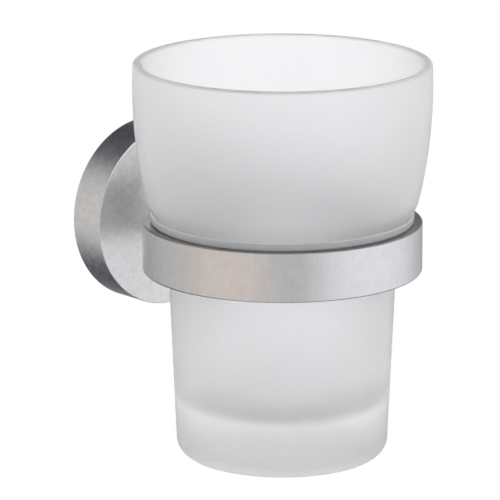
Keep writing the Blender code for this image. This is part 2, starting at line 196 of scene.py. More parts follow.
def facingOut(mesh):
    # Six times a closed surface's volume is the sum of a . (b x c) over its triangles, which is negative
    # where it is inside out.
    mesh.calc_loop_triangles()
    points = np.empty(len(mesh.vertices) * 3, np.float32)
    mesh.vertices.foreach_get("co", points)
    points = points.reshape(-1, 3).astype(float)
    corners = np.empty(len(mesh.loop_triangles) * 3, np.int32)
    mesh.loop_triangles.foreach_get("vertices", corners)
    a, b, c = (points[corners[i::3]] for i in range(3))
    if np.einsum("ij,ij->i", a, np.cross(b, c)).sum() < 0:
        mesh.flip_normals()
    return mesh


def cutAway(mesh, *cutters):
    # The mesh less each cutter. The result is kept, and the objects that made it go.
    whole = bpy.data.objects.new("whole", mesh)
    bpy.context.scene.collection.objects.link(whole)
    tools = []
    for cutter in cutters:
        tool = bpy.data.objects.new("tool", cutter)
        bpy.context.scene.collection.objects.link(tool)
        step = whole.modifiers.new("cut", "BOOLEAN")
        step.operation = "DIFFERENCE"
        step.solver = "EXACT"
        step.object = tool
        tools.append(tool)
    graph = bpy.context.evaluated_depsgraph_get()
    result = bpy.data.meshes.new_from_object(whole.evaluated_get(graph))
    result.materials.clear()
    for used in (whole, *tools):
        bpy.data.objects.remove(used)
    return result


def finishPiece(name, mesh, material, body, replaced, sharpAngle=40):
    # Smooth shading but for edges sharper than the angle, its material, and its place in the frame.
    mesh.name = name
    mesh.shade_smooth()
    mesh.set_sharp_from_angle(angle=math.radians(sharpAngle))
    mesh.materials.append(material)
    piece = bpy.data.objects.new(name, mesh)
    bpy.context.scene.collection.objects.link(piece)
    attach(piece, body)
    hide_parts(replaced)
    print(name, "made:", len(mesh.polygons), "faces")


# Camera, at the photograph's viewing angle

cameraView = {
    "azimuth": -41.0,
    "elevation": 14.08,
    "distance": 1.05,
    "target": (0.0, -0.055, 0.0),
    "right": -8.2 * mm,  # from the target to the picture's middle
    "up": -1.55 * mm,
    "lens": 298.2,
    "sensor": 36,
    "near": 0.05,
    "far": 50,
}


def placeCamera(view):
    back = heading(view["azimuth"], view["elevation"])
    turn = (-back).to_track_quat("-Z", "Y")
    middle = Vector(view["target"]) + turn @ Vector((view["right"], view["up"], 0))
    camera = bpy.data.objects.new("camera", bpy.data.cameras.new("camera"))
    camera.data.lens = view["lens"]
    camera.data.sensor_width = view["sensor"]
    camera.data.clip_start = view["near"]
    camera.data.clip_end = view["far"]
    camera.rotation_mode = "QUATERNION"
    camera.rotation_quaternion = turn
    camera.location = middle + back * view["distance"]
    bpy.context.scene.collection.objects.link(camera)
    bpy.context.scene.camera = camera


placeCamera(cameraView)
print("camera placed")


# Studio: a white room, with softer and darker stretches that only metal and gloss see, or only glass.
# A panel or lamp lies towards an azimuth and elevation. A panel is whole within the first angle of its fade
# and gone past the second.

studioLight = {
    "room": 0.62,  # what falls on matt surfaces from all sides
    "metalSees": {
        "between": (0.52, 0.52, 0.525),
        "panels": {
            "rightWindow": {"towards": (38, -2), "fade": (15, 68), "light": (0.9, 0.89, 0.93)},
            "warmLeft": {"towards": (-87, -8), "fade": (14, 46), "light": (0.715, 0.635, 0.585)},
            "backLeft": {"towards": (-128, 0), "fade": (5, 28), "light": (0.57, 0.55, 0.525)},
            "darkAbove": {"towards": (165, 42), "fade": (22, 47), "light": (0.01, 0.013, 0.022)},
            "darkBelow": {"towards": (176, -48), "fade": (18, 40), "light": (0.015, 0.018, 0.035)},
            "darkFloor": {"towards": (112, -64), "fade": (22, 42), "light": (0.05, 0.05, 0.06)},
            "darkBehind": {"towards": (140, -10), "fade": (8, 38), "light": (0.34, 0.34, 0.35)},
        },
    },
    "glassSees": {
        "between": (1.28, 1.28, 1.28),
        "panels": {
            "behind": {"towards": (139, -13), "fade": (5, 40), "light": (0.97, 0.972, 0.985)},
            "above": {"towards": (0, 90), "fade": (28, 74), "light": (0.86, 0.86, 0.87)},
            "below": {"towards": (139, -90), "fade": (20, 68), "light": (0.5, 0.5, 0.51)},
        },
    },
    "lamps": {
        "rightSoftbox": {"towards": (30, 35), "distance": 1.2, "size": 0.9, "power": 3.2,
                         "colour": (1, 0.99, 1)},
        "leftSoftbox": {"towards": (-105, 25), "distance": 1.2, "size": 0.8, "power": 1.4,
                        "colour": (1, 0.97, 0.93)},
    },
    "floor": {
        "height": -0.42,
        "reach": 6.0,
        "colour": (0.93, 0.93, 0.93, 1),
        "whiteShare": 0.45,  # how far it is plain white below the holder
        "fadeStart": 0.25,  # past the floor's own depth, from the origin
        "fadeEnd": 0.65,
    },
}

colourA, colourB, colourOut = 6, 7, 2  # sockets of a Mix node set to colours
vectorIn, vectorOut = 6, 1  # sockets of a Map Range node set to vectors
vectorEnds = (7, 8, 9, 10)  # its From Min, From Max, To Min and To Max


def node(tree, kind, **settings):
    new = tree.nodes.new("ShaderNode" + kind)
    for name, value in settings.items():
        setattr(new, name, value)
    return new


def panelledRoom(tree, room):
    # Each panel's light over the tone between them, by a share that falls from 1 to 0 as the angle to the
    # panel's direction goes through its fade.
    direction = node(tree, "TexCoord").outputs["Generated"]
    colour = None
    for panel in room["panels"].values():
        inner, outer = panel["fade"]
        towards = node(tree, "VectorMath", operation="DOT_PRODUCT")
        towards.inputs[1].default_value = heading(*panel["towards"])
        tree.links.new(direction, towards.inputs[0])
        share = node(tree, "MapRange", interpolation_type="SMOOTHSTEP")
        share.inputs["From Min"].default_value = math.cos(math.radians(outer))
        share.inputs["From Max"].default_value = math.cos(math.radians(inner))
        tree.links.new(towards.outputs["Value"], share.inputs["Value"])
        mix = node(tree, "Mix", data_type="RGBA")
        mix.inputs[colourA].default_value = (*room["between"], 1)
        mix.inputs[colourB].default_value = (*panel["light"], 1)
        tree.links.new(share.outputs["Result"], mix.inputs[0])
        if colour:
            tree.links.new(colour, mix.inputs[colourA])
        colour = mix.outputs[colourOut]
    background = node(tree, "Background")
    tree.links.new(colour, background.inputs["Color"])
    return background.outputs[0]


def plainRoom(tree, strength):
    background = node(tree, "Background")
    background.inputs["Color"].default_value = (1, 1, 1, 1)
    background.inputs["Strength"].default_value = strength
    return background.outputs[0]


def makeWorld(studio):
    # One room for matt surfaces, and others for what metal and gloss, glass and the camera see.
    world = bpy.data.worlds.new("studio")
    bpy.context.scene.world = world
    world.use_nodes = True
    tree = world.node_tree
    tree.nodes.clear()
    shown = plainRoom(tree, studio["room"])
    for ray, light in (("Is Glossy Ray", panelledRoom(tree, studio["metalSees"])),
                       ("Is Transmission Ray", panelledRoom(tree, studio["glassSees"])),
                       ("Is Camera Ray", plainRoom(tree, 1.0))):
        mix = node(tree, "MixShader")
        tree.links.new(node(tree, "LightPath").outputs[ray], mix.inputs[0])
        tree.links.new(shown, mix.inputs[1])
        tree.links.new(light, mix.inputs[2])
        shown = mix.outputs[0]
    tree.links.new(shown, node(tree, "OutputWorld").inputs["Surface"])


def hangLamp(name, lamp):
    # A soft square lamp turned to the ring. The panels, not the lamps, show in gloss.
    light = bpy.data.lights.new(name, "AREA")
    light.shape = "SQUARE"
    light.size = lamp["size"]
    light.energy = lamp["power"]
    light.color = lamp["colour"]
    away = heading(*lamp["towards"])
    hung = bpy.data.objects.new(name, light)
    hung.rotation_mode = "QUATERNION"
    hung.rotation_quaternion = (-away).to_track_quat("-Z", "Y")
    hung.location = Vector(cameraView["target"]) + away * lamp["distance"]
    hung.visible_glossy = False
    bpy.context.scene.collection.objects.link(hung)


def layFloor(size):
    # Part matt and part plain white below the holder, whose shadow the matt part takes, plain white further
    # out, and clear from below.
    reach, level = size["reach"], size["height"]
    corners = np.array([[-reach, -reach, level], [reach, -reach, level], [reach, reach, level],
                        [-reach, reach, level]])
    mesh = makeMesh("floor", corners, [np.arange(4)[None, :]], closed=False)
    floor = bpy.data.objects.new("floor", mesh)
    bpy.context.scene.collection.objects.link(floor)
    for ray in ("diffuse", "glossy", "transmission", "shadow"):
        setattr(floor, "visible_" + ray, False)  # the floor changes nothing on the holder
    material, tree, shader = newMaterial("floorWhite")
    shader.inputs["Base Color"].default_value = size["colour"]
    shader.inputs["Roughness"].default_value = 1.0
    shader.inputs["Specular IOR Level"].default_value = 0.0
    white = node(tree, "Emission")
    clear = node(tree, "BsdfTransparent")
    distance = node(tree, "VectorMath", operation="LENGTH")
    fade = node(tree, "MapRange", interpolation_type="SMOOTHSTEP")
    fade.inputs["From Min"].default_value = abs(level) + size["fadeStart"]
    fade.inputs["From Max"].default_value = abs(level) + size["fadeEnd"]
    fade.inputs["To Min"].default_value = size["whiteShare"]
    share = node(tree, "Math", operation="MULTIPLY")
    faded, sided = node(tree, "MixShader"), node(tree, "MixShader")
    link = tree.links.new
    link(node(tree, "TexCoord").outputs["Object"], distance.inputs[0])
    link(distance.outputs["Value"], fade.inputs["Value"])
    link(fade.outputs["Result"], share.inputs[0])
    link(node(tree, "LightPath").outputs["Is Camera Ray"], share.inputs[1])
    link(share.outputs[0], faded.inputs[0])
    link(shader.outputs[0], faded.inputs[1])
    link(white.outputs[0], faded.inputs[2])
    link(node(tree, "NewGeometry").outputs["Backfacing"], sided.inputs[0])
    link(faded.outputs[0], sided.inputs[1])
    link(clear.outputs[0], sided.inputs[2])
    link(sided.outputs[0], tree.nodes["Material Output"].inputs["Surface"])
    mesh.materials.append(material)


# Materials

noiseMiddle = (0.3, 0.7)  # most of a noise lies between these
scratchDepth = 0.02 * mm  # relief of metal at a bump of 1
frostDepth = 0.05 * mm  # relief of glass and plastic at a bump of 1
patternNoise = {  # the brushed group's outputs, with the inputs that each reads
    "Lines": {"vector": "Squeezed", "scale": "Line Scale", "detail": 3.0, "roughness": 0.65},
    "Cloud": {"vector": "Plain", "scale": "Cloud Scale", "detail": 3.0, "roughness": 0.5},
}


def newMaterial(name):
    material = bpy.data.materials.new(name)
    material.use_nodes = True
    tree = material.node_tree
    return material, tree, tree.nodes["Principled BSDF"]


def newGroup(name, inputs, outputs):
    # A node group with named inputs, each with its kind and first value, and plain number outputs.
    group = bpy.data.node_groups.new(name, "ShaderNodeTree")
    for label, kind, value in inputs:
        socket = group.interface.new_socket(label, in_out="INPUT", socket_type="NodeSocket" + kind)
        if value is not None:
            socket.default_value = value
    for label in outputs:
        group.interface.new_socket(label, in_out="OUTPUT", socket_type="NodeSocketFloat")
    return group, group.nodes.new("NodeGroupInput"), group.nodes.new("NodeGroupOutput")


def brushedGroup():
    # Two noises: one drawn out into lines along whichever axis its vector squeezes, and a slower, even cloud.
    group, start, end = newGroup("brushed", [("Squeezed", "Vector", None), ("Plain", "Vector", None),
                                             ("Line Scale", "Float", 3000.0), ("Cloud Scale", "Float", 90.0)],
                                 list(patternNoise))
    link = group.links.new
    for label, look in patternNoise.items():
        noise = node(group, "TexNoise")
        noise.inputs["Detail"].default_value = look["detail"]
        noise.inputs["Roughness"].default_value = look["roughness"]
        link(start.outputs[look["vector"]], noise.inputs["Vector"])
        link(start.outputs[look["scale"]], noise.inputs["Scale"])
        link(noise.outputs["Fac"], end.inputs[label])
    return group


brushed = brushedGroup()


def placedPattern(tree, stretch, centre, lineScale, cloudScale):
    # The brushed group on a piece's own coordinates, less its centre. An axis is squeezed where stretch is
    # under 1.
    place = node(tree, "TexCoord")
    pattern = node(tree, "Group", node_tree=brushed)
    pattern.inputs["Line Scale"].default_value = lineScale
    pattern.inputs["Cloud Scale"].default_value = cloudScale
    for label, scale in (("Squeezed", stretch), ("Plain", (1, 1, 1))):
        mapping = node(tree, "Mapping")
        mapping.inputs["Location"].default_value = [-c * s for c, s in zip(centre, scale)]
        mapping.inputs["Scale"].default_value = scale
        tree.links.new(place.outputs["Object"], mapping.inputs["Vector"])
        tree.links.new(mapping.outputs["Vector"], pattern.inputs[label])
    return pattern.outputs["Lines"], pattern.outputs["Cloud"]


def ranged(tree, value, low, high):
    # Spreads the middle of a noise from low to high. Colours are spread in all three channels.
    start, end = noiseMiddle
    if np.ndim(low):
        spread = node(tree, "MapRange", data_type="FLOAT_VECTOR")
        for socket, number in zip(vectorEnds, ((start,) * 3, (end,) * 3, low, high)):
            spread.inputs[socket].default_value = number
        tree.links.new(value, spread.inputs[vectorIn])
        return spread.outputs[vectorOut]
    spread = node(tree, "MapRange")
    for label, number in (("From Min", start), ("From Max", end), ("To Min", low), ("To Max", high)):
        spread.inputs[label].default_value = number
    tree.links.new(value, spread.inputs["Value"])
    return spread.outputs["Result"]


def blended(tree, first, second, share):
    # first * share + second * (1 - share)
    scaled = node(tree, "Math", operation="MULTIPLY")
    scaled.inputs[1].default_value = 1 - share
    total = node(tree, "Math", operation="MULTIPLY_ADD")
    total.inputs[1].default_value = share
    tree.links.new(second, scaled.inputs[0])
    tree.links.new(first, total.inputs[0])
    tree.links.new(scaled.outputs[0], total.inputs[2])
    return total.outputs[0]


def raisedBy(tree, shader, height, strength, depth):
    bump = node(tree, "Bump")
    bump.inputs["Strength"].default_value = strength
    bump.inputs["Distance"].default_value = depth
    tree.links.new(height, bump.inputs["Height"])
    tree.links.new(bump.outputs["Normal"], shader.inputs["Normal"])


def axisShare(tree, source, none, full, absolute=False):
    # 0 to 1 as the Z of a coordinate or a normal, without its sign if asked, goes from none to full.
    parts = node(tree, "SeparateXYZ")
    tree.links.new(node(tree, "TexCoord").outputs[source], parts.inputs[0])
    height = parts.outputs["Z"]
    if absolute:
        size = node(tree, "Math", operation="ABSOLUTE")
        tree.links.new(height, size.inputs[0])
        height = size.outputs[0]
    share = node(tree, "MapRange", interpolation_type="SMOOTHSTEP")
    share.inputs["From Min"].default_value = none
    share.inputs["From Max"].default_value = full
    tree.links.new(height, share.inputs["Value"])
    return share.outputs["Result"]


def darkened(tree, colour, share, tone):
    # The colour times a grey tone where the share is 1, for painted shade.
    mix = node(tree, "Mix", data_type="RGBA", blend_type="MULTIPLY")
    mix.inputs[colourB].default_value = (tone, tone, tone, 1)
    tree.links.new(share, mix.inputs[0])
    tree.links.new(colour, mix.inputs[colourA])
    return mix.outputs[colourOut]


def metalFinish(name, look):
    # Metal whose lines and cloud show in its colour and gloss, and whose lines are a fine relief. Faces that
    # look up or down are darkened by a grey tone, painted shade as on the ring's top land under the liner's
    # lip.
    material, tree, shader = newMaterial(name)
    shader.inputs["Metallic"].default_value = 1.0
    lines, cloud = placedPattern(tree, look["stretch"], look["centre"], look["lineScale"], look["cloudScale"])
    tone = blended(tree, lines, cloud, look["lineShare"])
    colour = ranged(tree, tone, look["dark"], look["light"])
    # Painted shade: faces that look up or down are darkened, as where the ring's top land lies under the
    # liner's lip.
    if "endShadeTone" in look:
        end = axisShare(tree, "Normal", look["endNone"], look["endFull"], absolute=True)
        colour = darkened(tree, colour, end, look["endShadeTone"])
    tree.links.new(colour, shader.inputs["Base Color"])
    tree.links.new(ranged(tree, tone, *look["roughness"]), shader.inputs["Roughness"])
    raisedBy(tree, shader, lines, look["bump"], scratchDepth)
    return material


def clearFinish(name, look):
    # Glass or plastic that lets light through. Its grain shows in its colour and as a fine relief, and its
    # cloud in its colour and gloss. Faces that don't look up are darkened by a grey tone, painted shade that
    # leaves tops such as the liner's lip lighter as a painted highlight. The foot is darkened by a tone of
    # its own, painted shade where the thick glass of the foot lets less light through.
    material, tree, shader = newMaterial(name)
    shader.inputs["Transmission Weight"].default_value = look["transmission"]
    shader.inputs["IOR"].default_value = look["ior"]
    grain, cloud = placedPattern(tree, (1, 1, 1), look["centre"], look["grainScale"], look["cloudScale"])
    tone = blended(tree, grain, cloud, look["grainShare"])
    colour = ranged(tree, tone, look["dark"], look["light"])
    # Painted shade: faces that don't look up are darkened, leaving the liner lip's top lighter as a painted
    # highlight.
    if "sideShadeTone" in look:
        side = axisShare(tree, "Normal", look["sideNone"], look["sideFull"])
        colour = darkened(tree, colour, side, look["sideShadeTone"])
    # Painted shade: darker towards the foot, where the thick glass lets less light through.
    if "footShadeTone" in look:
        foot = axisShare(tree, "Object", look["footNone"], look["footFull"])
        colour = darkened(tree, colour, foot, look["footShadeTone"])
    tree.links.new(colour, shader.inputs["Base Color"])
    tree.links.new(ranged(tree, cloud, *look["roughness"]), shader.inputs["Roughness"])
    raisedBy(tree, shader, grain, look["bump"], frostDepth)
    return material


ringCentre = (0, (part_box("ring")[0].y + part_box("ring")[1].y) / 2, 0)
ringOut = -ringCentre[1]  # its axis, out from the wall
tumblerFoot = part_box("tumbler")[0].z

ringFinish = metalFinish("satinRing", {
    "dark": (0.74, 0.74, 0.745), "light": (0.87, 0.87, 0.875), "roughness": (0.26, 0.36), "bump": 0.15,
    "stretch": (1, 1, 0.07), "centre": ringCentre, "lineScale": 3600, "cloudScale": 420, "lineShare": 0.58,
    # painted shade on the ring's faces that look up or down
    "endShadeTone": 0.45, "endNone": 0.5, "endFull": 1,
})
plateFinish = metalFinish("satinPlate", {
    "dark": (0.82, 0.82, 0.827), "light": (1.0, 1.0, 1.0), "roughness": (0.33, 0.43), "bump": 0.1,
    "stretch": (1, 0.3, 0.6), "centre": (0, 0, 0), "lineScale": 1500, "cloudScale": 700, "lineShare": 0.35,
})
zincFinish = metalFinish("castZinc", {
    "dark": (0.34, 0.35, 0.36), "light": (0.6, 0.61, 0.62), "roughness": (0.42, 0.58), "bump": 1.0,
    "stretch": (1, 1, 1), "centre": (0, 0, 0), "lineScale": 1100, "cloudScale": 220, "lineShare": 0.5,
})
steelFinish = metalFinish("platedSteel", {
    "dark": (0.5, 0.5, 0.51), "light": (0.63, 0.63, 0.65), "roughness": (0.2, 0.32), "bump": 0.1,
    "stretch": (1, 1, 1), "centre": (0, 0, 0), "lineScale": 2400, "cloudScale": 500, "lineShare": 0.5,
})
glassFinish = clearFinish("frostedGlass", {
    "dark": (0.93, 0.933, 0.943), "light": (1.0, 1.0, 1.0), "roughness": (0.47, 0.55), "bump": 0.12,
    "transmission": 0.975, "ior": 1.5,
    "centre": ringCentre, "grainScale": 1300, "cloudScale": 60, "grainShare": 0.8,
    # painted shade on the tumbler's thick foot
    "footShadeTone": 0.8, "footNone": tumblerFoot + 17 * mm, "footFull": tumblerFoot + 11 * mm,
})
linerFinish = clearFinish("linerPlastic", {
    "dark": (0.95, 0.955, 0.96), "light": (1.0, 1.0, 1.0), "roughness": (0.38, 0.46), "bump": 0.15,
    "transmission": 0.45, "ior": 1.48,
    "centre": ringCentre, "grainScale": 1800, "cloudScale": 90, "grainShare": 0.4,
    # painted shade on the liner's faces that don't look up, with a painted highlight left on the lip's top
    "sideShadeTone": 0.8, "sideNone": 0.6, "sideFull": 0.1,
})

makeWorld(studioLight)
for lampName, lampSizes in studioLight["lamps"].items():
    hangLamp(lampName, lampSizes)
layFloor(studioLight["floor"])
bpy.context.scene.view_settings.view_transform = "Standard"
print("studio and finishes made")


# Tumbler

tumblerSizes = {
    "foot": tumblerFoot,
    "height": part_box("tumbler")[1].z - tumblerFoot,
    "seatHeight": 63 * mm,
    "seatRadius": 32.7 * mm,
    "seatLean": 0.62,  # leans are across over up
    "bodyHeight": 46.8 * mm,
    "bodyRadius": 28.8 * mm,
    "footRadius": 26.8 * mm,
    "footRound": 4.5 * mm,
    "shoulderOut": 1.9 * mm,
    "shoulderRise": 4 * mm,
    "shoulderLean": 0.23,
    "bowlRadius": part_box("tumbler")[1].x,
    "bowlBelowRim": 6 * mm,
    "rimIn": 0.12 * mm,
    "rimLean": -0.03,
    "handleShare": 0.33,
    "wall": 2.3 * mm,
    "lipRound": 0.75 * mm,
    "floor": 13 * mm,
    "innerRound": 10 * mm,
    "puntRadius": 19 * mm,
    "puntHeight": 0.8 * mm,
    "puntLean": 2,
    "puntFirstShare": 1 / 4,  # first ring round the pole, as a share of the flat
    "floorFirstShare": 1 / 5,
    "facets": 288,
    "rows": {
        "footRound": 16, "body": 20, "seat": 18, "shoulder": 8, "bowl": 26, "rim": 6, "lip": 8,
        "innerWall": 16, "innerRound": 16, "innerFloor": 8, "punt": 5,
    },
}


def bodyLean(size):
    # How far the straight body leans out, across over up.
    return (size["bodyRadius"] - size["footRadius"]) / size["bodyHeight"]


def tumblerOutside(size):
    # Foot round, straight body, S-curve through the seat, and the bowl's swell up to the rim.
    lean, rows = bodyLean(size), size["rows"]
    tilt = math.atan(lean)
    body = (size["bodyRadius"], size["bodyHeight"])
    seat = (size["seatRadius"], size["seatHeight"])
    shoulder = (size["seatRadius"] + size["shoulderOut"], size["seatHeight"] + size["shoulderRise"])
    rimHeight = size["height"] - size["lipRound"]
    bowl = (size["bowlRadius"], rimHeight - size["bowlBelowRim"])
    rim = (size["bowlRadius"] - size["rimIn"], rimHeight)
    footRound, handle = size["footRound"], size["handleShare"]
    footCentre = (size["footRadius"] + footRound * lean - footRound, footRound)
    footTop = (footCentre[0] + footRound * math.cos(tilt), footCentre[1] - footRound * math.sin(tilt))
    return joined(
        arcPoints(footCentre, footRound, -90, -math.degrees(tilt), rows["footRound"]),
        linePoints(footTop, body, rows["body"]),
        cubicPoints(body, lean, seat, size["seatLean"], handle, rows["seat"]),
        cubicPoints(seat, size["seatLean"], shoulder, size["shoulderLean"], handle, rows["shoulder"]),
        cubicPoints(shoulder, size["shoulderLean"], bowl, 0, handle, rows["bowl"]),
        cubicPoints(bowl, 0, rim, size["rimLean"], handle, rows["rim"]),
    )


def tumblerOutline(size):
    # The outside, a flat lip with rounded edges, the outside moved in by the wall, and a thick floor with
    # rounded corners. Below the top of the body the inside goes straight on down.
    rows = size["rows"]
    outside = tumblerOutside(size)
    along = np.gradient(outside, axis=0)
    along /= np.linalg.norm(along, axis=1)[:, None]
    inside = outside + size["wall"] * np.column_stack([-along[:, 1], along[:, 0]])
    inside = inside[inside[:, 1] > size["bodyHeight"] - size["wall"]][::-1]
    lipRound = size["lipRound"]
    lip = joined(arcPoints(outside[-1] - (lipRound, 0), lipRound, 0, 90, rows["lip"]),
                 arcPoints(outside[-1] - (size["wall"] - lipRound, 0), lipRound, 90, 180, rows["lip"]))
    low, inner = size["floor"] + size["innerRound"], size["innerRound"]
    lowRadius = inside[-1][0] - (inside[-1][1] - low) * bodyLean(size)
    puntEdge = size["puntRadius"] - size["puntLean"] * size["puntHeight"]
    puntFirst, floorFirst = puntEdge * size["puntFirstShare"], lowRadius * size["floorFirstShare"]
    return joined(
        (0, size["puntHeight"]),
        linePoints((puntFirst, size["puntHeight"]), (puntEdge, size["puntHeight"]), rows["punt"]),
        (size["puntRadius"], 0),
        outside,
        lip,
        inside,
        linePoints(inside[-1], (lowRadius, low), rows["innerWall"]),
        arcPoints((lowRadius - inner, low), inner, 0, -90, rows["innerRound"]),
        linePoints((lowRadius - inner, size["floor"]), (floorFirst, size["floor"]), rows["innerFloor"]),
        (0, size["floor"]),
    )


def tumblerMesh(size):
    return turnedMesh("tumbler", tumblerOutline(size), size["facets"], (0, ringCentre[1], size["foot"]))


finishPiece("frosted_tumbler", tumblerMesh(tumblerSizes), glassFinish, "tumbler", "tumbler")


# Ring, with the countersunk hole for its screw

ringSizes = {
    "radius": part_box("ring")[1].x,
    "foot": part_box("ring")[0].z,
    "top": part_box("ring")[1].z,
    "wall": 2.6 * mm,
    "upperEdge": 0.35 * mm,
    "lowerEdge": 0.5 * mm,
    "innerEdge": 0.3 * mm,
    "facets": 288,
}
screwSizes = {
    "radius": 2 * mm,
    "headRadius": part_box("ring_screw")[1].x,
    "headTop": -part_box("ring_screw")[0].y,  # out from the wall
    "tip": -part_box("ring_screw")[1].y,
    "headLand": 0.2 * mm,
    "socketFlats": 2.5 * mm,
    "socketDepth": 1.3 * mm,
    "pitch": 0.7 * mm,
    "threadDepth": 0.4 * mm,
    "grooveShare": 1.15,  # depth to which a sharp groove would go, over that of its flat floor
    "tipChamfer": 0.35 * mm,
    "facets": 64,
    "rowsInPitch": 10,
}


def countersink(ring, screw):
    # A plain hole and a 90 degree cone, wide enough to leave the gap round the screw.
    back = ringOut - ring["radius"]
    inside = back + ring["wall"]
    hole, wide = screw["radius"] + gap, screw["headRadius"] + gap * math.sqrt(2)
    coneEnd = screw["headTop"] - screw["headLand"]
    outline = np.array([(0, back - overrun), (hole, back - overrun), (hole, coneEnd - (wide - hole)),
                        (wide, coneEnd), (wide, inside + overrun), (0, inside + overrun)])
    return turnedMesh("countersink", outline, screw["facets"], (0, 0, 0), onWall=True)


def ringMesh(size, screw):
    # A rectangle with rounded corners, turned round the ring's axis, less the countersink.
    bore = size["radius"] - size["wall"]
    corners = [(size["radius"], size["foot"]), (size["radius"], size["top"]),
               (bore, size["top"]), (bore, size["foot"])]
    outline = rounded(corners, [size["lowerEdge"], size["upperEdge"], size["innerEdge"], size["innerEdge"]])
    return cutAway(turnedMesh("ring", outline, size["facets"], ringCentre), countersink(size, screw))


finishPiece("satin_ring", ringMesh(ringSizes, screwSizes), ringFinish, "holder", "ring")


# Ring screw: a thread with a countersunk, socketed head

def threadedRows(size, start, end, turn):
    # radius(turn, height) is the crest's less the thread's depth times a groove, a triangle wave of
    # height / pitch - turn / 360 degrees with its bottom cut flat, which fades out over a pitch at each end.
    pitch = size["pitch"]
    height = np.linspace(start, end, int((end - start) / pitch * size["rowsInPitch"]))[:, None]
    phase = (height / pitch - turn / math.tau) % 1
    groove = np.clip(size["grooveShare"] * (1 - np.abs(2 * phase - 1)), 0, 1)
    runout = np.clip(np.minimum(height - start, end - height) / pitch, 0, 1)
    return size["radius"] - size["threadDepth"] * groove * runout, np.broadcast_to(height, phase.shape)


def ringScrewMesh(size):
    # Rows of (radius, height) from the tip: its chamfer, the thread, the cone, the head's land and top. The
    # socket is cut away.
    turn = evenTurn(size["facets"])
    shank, head, chamfer = size["radius"], size["headRadius"], size["tipChamfer"]
    coneEnd = size["headTop"] - size["headLand"]
    coneStart = coneEnd - (head - shank)
    threadRadius, threadHeight = threadedRows(size, size["tip"] + chamfer, coneStart - chamfer, turn)
    lower = np.array([(shank / 2, size["tip"]), (shank - chamfer, size["tip"])])
    upper = np.array([(shank, coneStart), (head, coneEnd),
                      (head, size["headTop"]), (head / 2, size["headTop"])])
    radius = np.vstack([np.repeat(lower[:, :1], len(turn), 1), threadRadius,
                        np.repeat(upper[:, :1], len(turn), 1)])
    height = np.vstack([np.repeat(lower[:, 1:], len(turn), 1), threadHeight,
                        np.repeat(upper[:, 1:], len(turn), 1)])
    points, faces = turnedSurface(radius, height, turn, (size["tip"], size["headTop"]))
    return cutAway(makeMesh("screw", wallWards(points), faces), socketMesh(size))


def socketMesh(size):
    # A hexagon, whose corners lie half its flats / cos(30 degrees) from the axis.
    angle = math.pi / 6 + np.arange(6) * math.pi / 3
    reach = size["socketFlats"] / 2 / math.cos(math.pi / 6)
    hexagon = np.column_stack([reach * np.cos(angle), reach * np.sin(angle)])
    return prismMesh("socket", hexagon, size["headTop"] - size["socketDepth"], size["headTop"] + overrun)


finishPiece("ring_screw_threaded", ringScrewMesh(screwSizes), steelFinish, "holder", "ring_screw",
            sharpAngle=30)


# Liner: a sleeve with a lip over the ring, a seat that follows the tumbler, and ribs inside

linerSizes = {
    "top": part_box("ring_liner")[1].z,
    "foot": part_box("ring_liner")[0].z,
    "lipRadius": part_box("ring_liner")[1].x,
    "wall": 1.2 * mm,
    "edge": 0.25 * mm,
    "lead": 0.4 * mm,
    "seatDepth": 6 * mm,  # how far below the ring's top the seat's finer rows go
    "ribCount": 6,
    "ribWidth": 1.2 * mm,
    "ribHeight": 8 * mm,
    "ribFillet": 0.25 * mm,
    "ribRadius": tumblerSizes["footRadius"],
    "rows": {"seat": 26, "plain": 3, "ribTop": 7, "rib": 14},
    "columns": {"crest": 5, "flank": 7, "halfBetween": 22},
}


